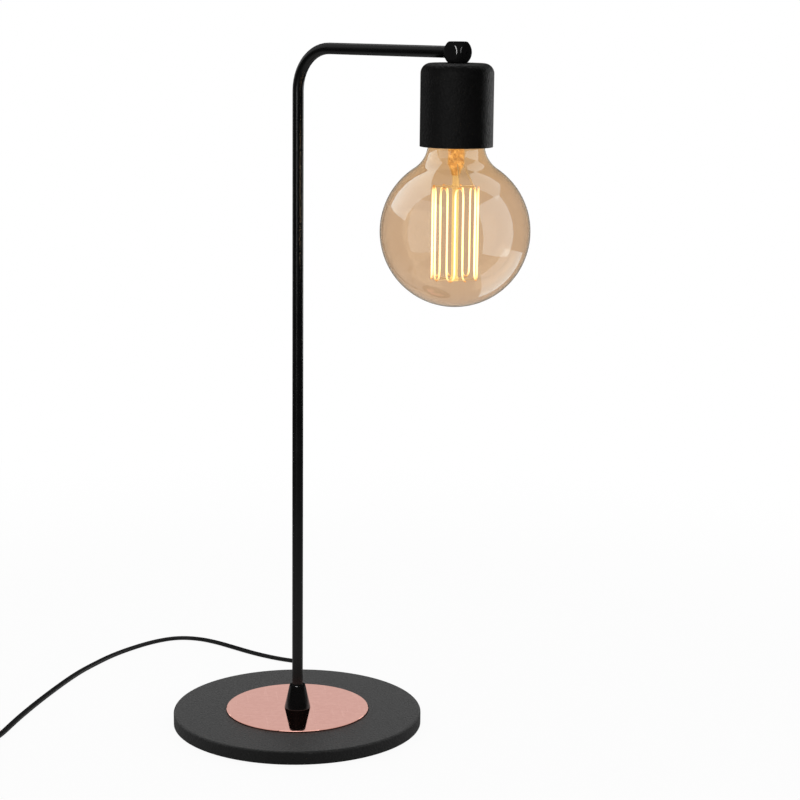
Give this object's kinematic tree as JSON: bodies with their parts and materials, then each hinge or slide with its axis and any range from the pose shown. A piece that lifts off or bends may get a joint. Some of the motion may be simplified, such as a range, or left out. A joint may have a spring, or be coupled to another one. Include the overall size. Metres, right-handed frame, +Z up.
{
  "type": "bedside lamp",
  "caption": "Bedside lamp: weighted round base with a copper disc, thin bent tube, cup and hanging globe bulb.",
  "frame": {"origin": "on the table, under the axis of the pole, at the middle of the base's underside", "axes": "+Z up along the pole, +X along the arm towards the bulb"},
  "size_m": [0.412, 0.3992, 0.4768],
  "materials": {
    "painted_steel": "matte powder coat",
    "copper": "polished copper",
    "pad": "matte foam",
    "zinc": "zinc plated",
    "flex": "satin",
    "holder": "matte",
    "brass": "plain",
    "insulator": "black",
    "amber_glass": "clear amber",
    "clear_glass": "clear",
    "wire": "drawn wire",
    "filament": "lit carbon filament",
    "black_plastic": "satin",
    "rocker_plastic": "gloss"
  },
  "bodies": {
    "lamp": {"base_plate": "painted_steel", "ferrule": "painted_steel", "stem_tube": "painted_steel", "arm_locknut": "painted_steel", "elbow": "painted_steel", "cup_shell": "painted_steel", "copper_inlay": "copper", "base_pad": "pad", "stem_washer": "zinc", "stem_nut": "zinc", "cup_nipple": "zinc", "cup_washer": "zinc", "cup_nut": "zinc", "terminal_screws": "zinc", "switch_screws": "zinc", "cord_grommet": "flex", "base_flex": "flex", "stem_flex": "flex", "cord_run": "flex", "cord_lead": "flex", "cord_coil": "flex", "cord_tail": "flex", "holder_cap": "holder", "holder_body": "holder", "holder_insert": "holder", "screw_shell": "brass", "centre_contact": "brass", "switch_contacts": "brass", "plug_pins": "brass", "switch_lower": "black_plastic", "switch_upper": "black_plastic", "plug_body": "black_plastic", "plug_sleeve": "black_plastic", "coil_tie": "black_plastic"},
    "bulb_travel": {"bulb_tip": "brass"},
    "bulb": {"bulb_glass": "amber_glass", "bulb_cap": "brass", "bulb_insulator": "insulator", "bulb_stem": "clear_glass", "bulb_rod": "clear_glass", "support_wires": "wire", "filament": "filament", "lead_wires": "wire"},
    "rocker": {"switch_rocker": "rocker_plastic"}
  },
  "joints": [
    {"name": "bulb_unscrew_travel", "type": "slide", "parent": "lamp", "child": "bulb_travel", "axis": [0, 0, -1], "range_m": [0, 0.01452]},
    {"name": "bulb_unscrew_turn", "type": "hinge", "parent": "bulb_travel", "child": "bulb", "pos_m": [0.1383, 0, 0.4], "axis": [0, 0, -1], "range_deg": [0, 1440]},
    {"name": "switch_rock", "type": "hinge", "parent": "lamp", "child": "rocker", "pos_m": [-0.112, -0.237, 0.0104], "axis": [-1, 0, 0], "range_deg": [0, 20]}
  ],
  "couplings": [
    {"joint": "bulb_unscrew_travel", "follows": "bulb_unscrew_turn", "m_per_rad": 0.00057757}
  ]
}
